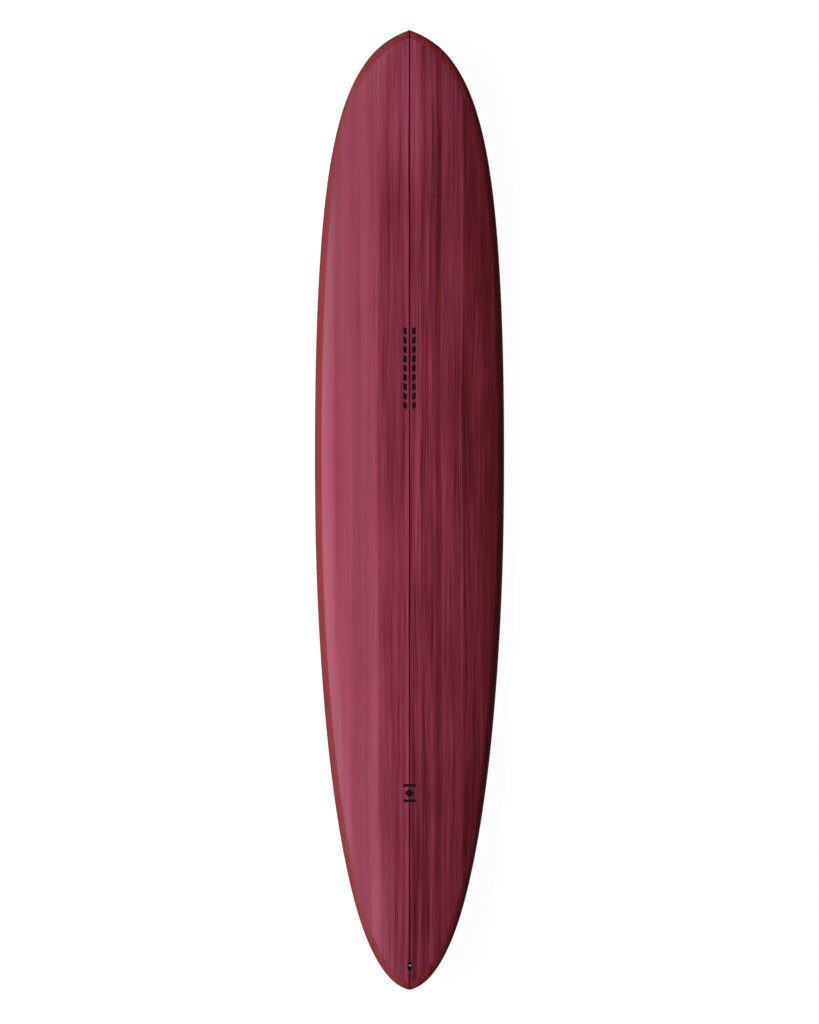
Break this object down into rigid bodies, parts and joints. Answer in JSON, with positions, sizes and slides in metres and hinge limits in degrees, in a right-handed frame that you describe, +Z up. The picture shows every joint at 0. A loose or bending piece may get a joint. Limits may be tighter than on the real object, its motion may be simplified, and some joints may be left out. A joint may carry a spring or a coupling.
{
  "type": "longboard surfboard",
  "caption": "Longboard with a foam core, wood grain skins, tinted rail laps, a centre fin channel, side fin boxes and a leash plug.",
  "frame": {"origin": "on the stringer, midway between the nose and tail tips, at the lowest point of the bottom", "axes": "+Y towards the nose, +Z up out of the deck, +X towards the right rail seen from above the deck with the nose ahead"},
  "size_m": [0.552, 2.743, 0.1265],
  "materials": {
    "foam": "expanded bead foam",
    "stringer": "dark hardwood under gloss resin",
    "deck_veneer": "stained wood grain under gloss resin",
    "bottom_veneer": "stained wood grain under gloss resin",
    "rail_lap": "tinted glass fibre lap, gloss",
    "box_plastic": "moulded black",
    "screw_steel": "satin",
    "roller_red": "satin",
    "plate_steel": "satin",
    "leash_steel": "polished"
  },
  "bodies": {
    "board": {"foam_core_left": "foam", "foam_core_right": "foam", "stringer": "stringer", "deck_veneer_left": "deck_veneer", "bottom_veneer_left": "bottom_veneer", "rail_band_left": "rail_lap", "deck_veneer_right": "deck_veneer", "bottom_veneer_right": "bottom_veneer", "rail_band_right": "rail_lap", "centre_fin_box": "box_plastic", "leash_cup": "box_plastic", "leash_pin": "leash_steel", "front_fin_box_left": "box_plastic", "front_fin_box_right": "box_plastic", "rear_fin_box_left": "box_plastic", "rear_fin_box_right": "box_plastic"},
    "fin_plate": {"fin_plate": "plate_steel"},
    "front_catch_roller_left": {"front_catch_roller_left": "roller_red"},
    "front_clamp_screw_front_left": {"front_clamp_screw_front_left": "screw_steel"},
    "front_clamp_screw_rear_left": {"front_clamp_screw_rear_left": "screw_steel"},
    "front_catch_roller_right": {"front_catch_roller_right": "roller_red"},
    "front_clamp_screw_front_right": {"front_clamp_screw_front_right": "screw_steel"},
    "front_clamp_screw_rear_right": {"front_clamp_screw_rear_right": "screw_steel"},
    "rear_catch_roller_left": {"rear_catch_roller_left": "roller_red"},
    "rear_clamp_screw_front_left": {"rear_clamp_screw_front_left": "screw_steel"},
    "rear_clamp_screw_rear_left": {"rear_clamp_screw_rear_left": "screw_steel"},
    "rear_catch_roller_right": {"rear_catch_roller_right": "roller_red"},
    "rear_clamp_screw_front_right": {"rear_clamp_screw_front_right": "screw_steel"},
    "rear_clamp_screw_rear_right": {"rear_clamp_screw_rear_right": "screw_steel"}
  },
  "joints": [
    {"name": "fin_plate_slide", "type": "slide", "parent": "board", "child": "fin_plate", "axis": [0, 0.9926, -0.1214], "range_m": [0, 0.2304]},
    {"name": "front_catch_roller_left_slide", "type": "slide", "parent": "board", "child": "front_catch_roller_left", "axis": [0.0192, 0.9954, -0.0936], "range_m": [0, 0.0015], "stiffness_N_per_m": 2000, "springref_m": -0.0005},
    {"name": "front_clamp_screw_front_left_turn", "type": "hinge", "parent": "board", "child": "front_clamp_screw_front_left", "pos_m": [-0.15498, -0.85073, 0.03647], "axis": [-0.6155, 0.0855, 0.7834], "range_deg": [0, 1800]},
    {"name": "front_clamp_screw_rear_left_turn", "type": "hinge", "parent": "board", "child": "front_clamp_screw_rear_left", "pos_m": [-0.17113, -0.91266, 0.04229], "axis": [0.6155, 0.062, 0.7857], "range_deg": [0, 1800]},
    {"name": "front_catch_roller_right_slide", "type": "slide", "parent": "board", "child": "front_catch_roller_right", "axis": [-0.0192, 0.9954, -0.0936], "range_m": [0, 0.0015], "stiffness_N_per_m": 2000, "springref_m": -0.0005},
    {"name": "front_clamp_screw_front_right_turn", "type": "hinge", "parent": "board", "child": "front_clamp_screw_front_right", "pos_m": [0.15498, -0.85073, 0.03647], "axis": [0.6155, 0.0855, 0.7834], "range_deg": [0, 1800]},
    {"name": "front_clamp_screw_rear_right_turn", "type": "hinge", "parent": "board", "child": "front_clamp_screw_rear_right", "pos_m": [0.17113, -0.91266, 0.04229], "axis": [-0.6155, 0.062, 0.7857], "range_deg": [0, 1800]},
    {"name": "rear_catch_roller_left_slide", "type": "slide", "parent": "board", "child": "rear_catch_roller_left", "axis": [0.0122, 0.9928, -0.119], "range_m": [0, 0.0015], "stiffness_N_per_m": 2000, "springref_m": -0.0005},
    {"name": "rear_clamp_screw_front_left_turn", "type": "hinge", "parent": "board", "child": "rear_clamp_screw_front_left", "pos_m": [-0.12518, -1.01011, 0.05131], "axis": [-0.6156, 0.1013, 0.7815], "range_deg": [0, 1800]},
    {"name": "rear_clamp_screw_rear_left_turn", "type": "hinge", "parent": "board", "child": "rear_clamp_screw_rear_left", "pos_m": [-0.14089, -1.07198, 0.05872], "axis": [0.6156, 0.0863, 0.7833], "range_deg": [0, 1800]},
    {"name": "rear_catch_roller_right_slide", "type": "slide", "parent": "board", "child": "rear_catch_roller_right", "axis": [-0.0122, 0.9928, -0.119], "range_m": [0, 0.0015], "stiffness_N_per_m": 2000, "springref_m": -0.0005},
    {"name": "rear_clamp_screw_front_right_turn", "type": "hinge", "parent": "board", "child": "rear_clamp_screw_front_right", "pos_m": [0.12518, -1.01011, 0.05131], "axis": [0.6156, 0.1013, 0.7815], "range_deg": [0, 1800]},
    {"name": "rear_clamp_screw_rear_right_turn", "type": "hinge", "parent": "board", "child": "rear_clamp_screw_rear_right", "pos_m": [0.14089, -1.07198, 0.05872], "axis": [-0.6156, 0.0863, 0.7833], "range_deg": [0, 1800]}
  ]
}
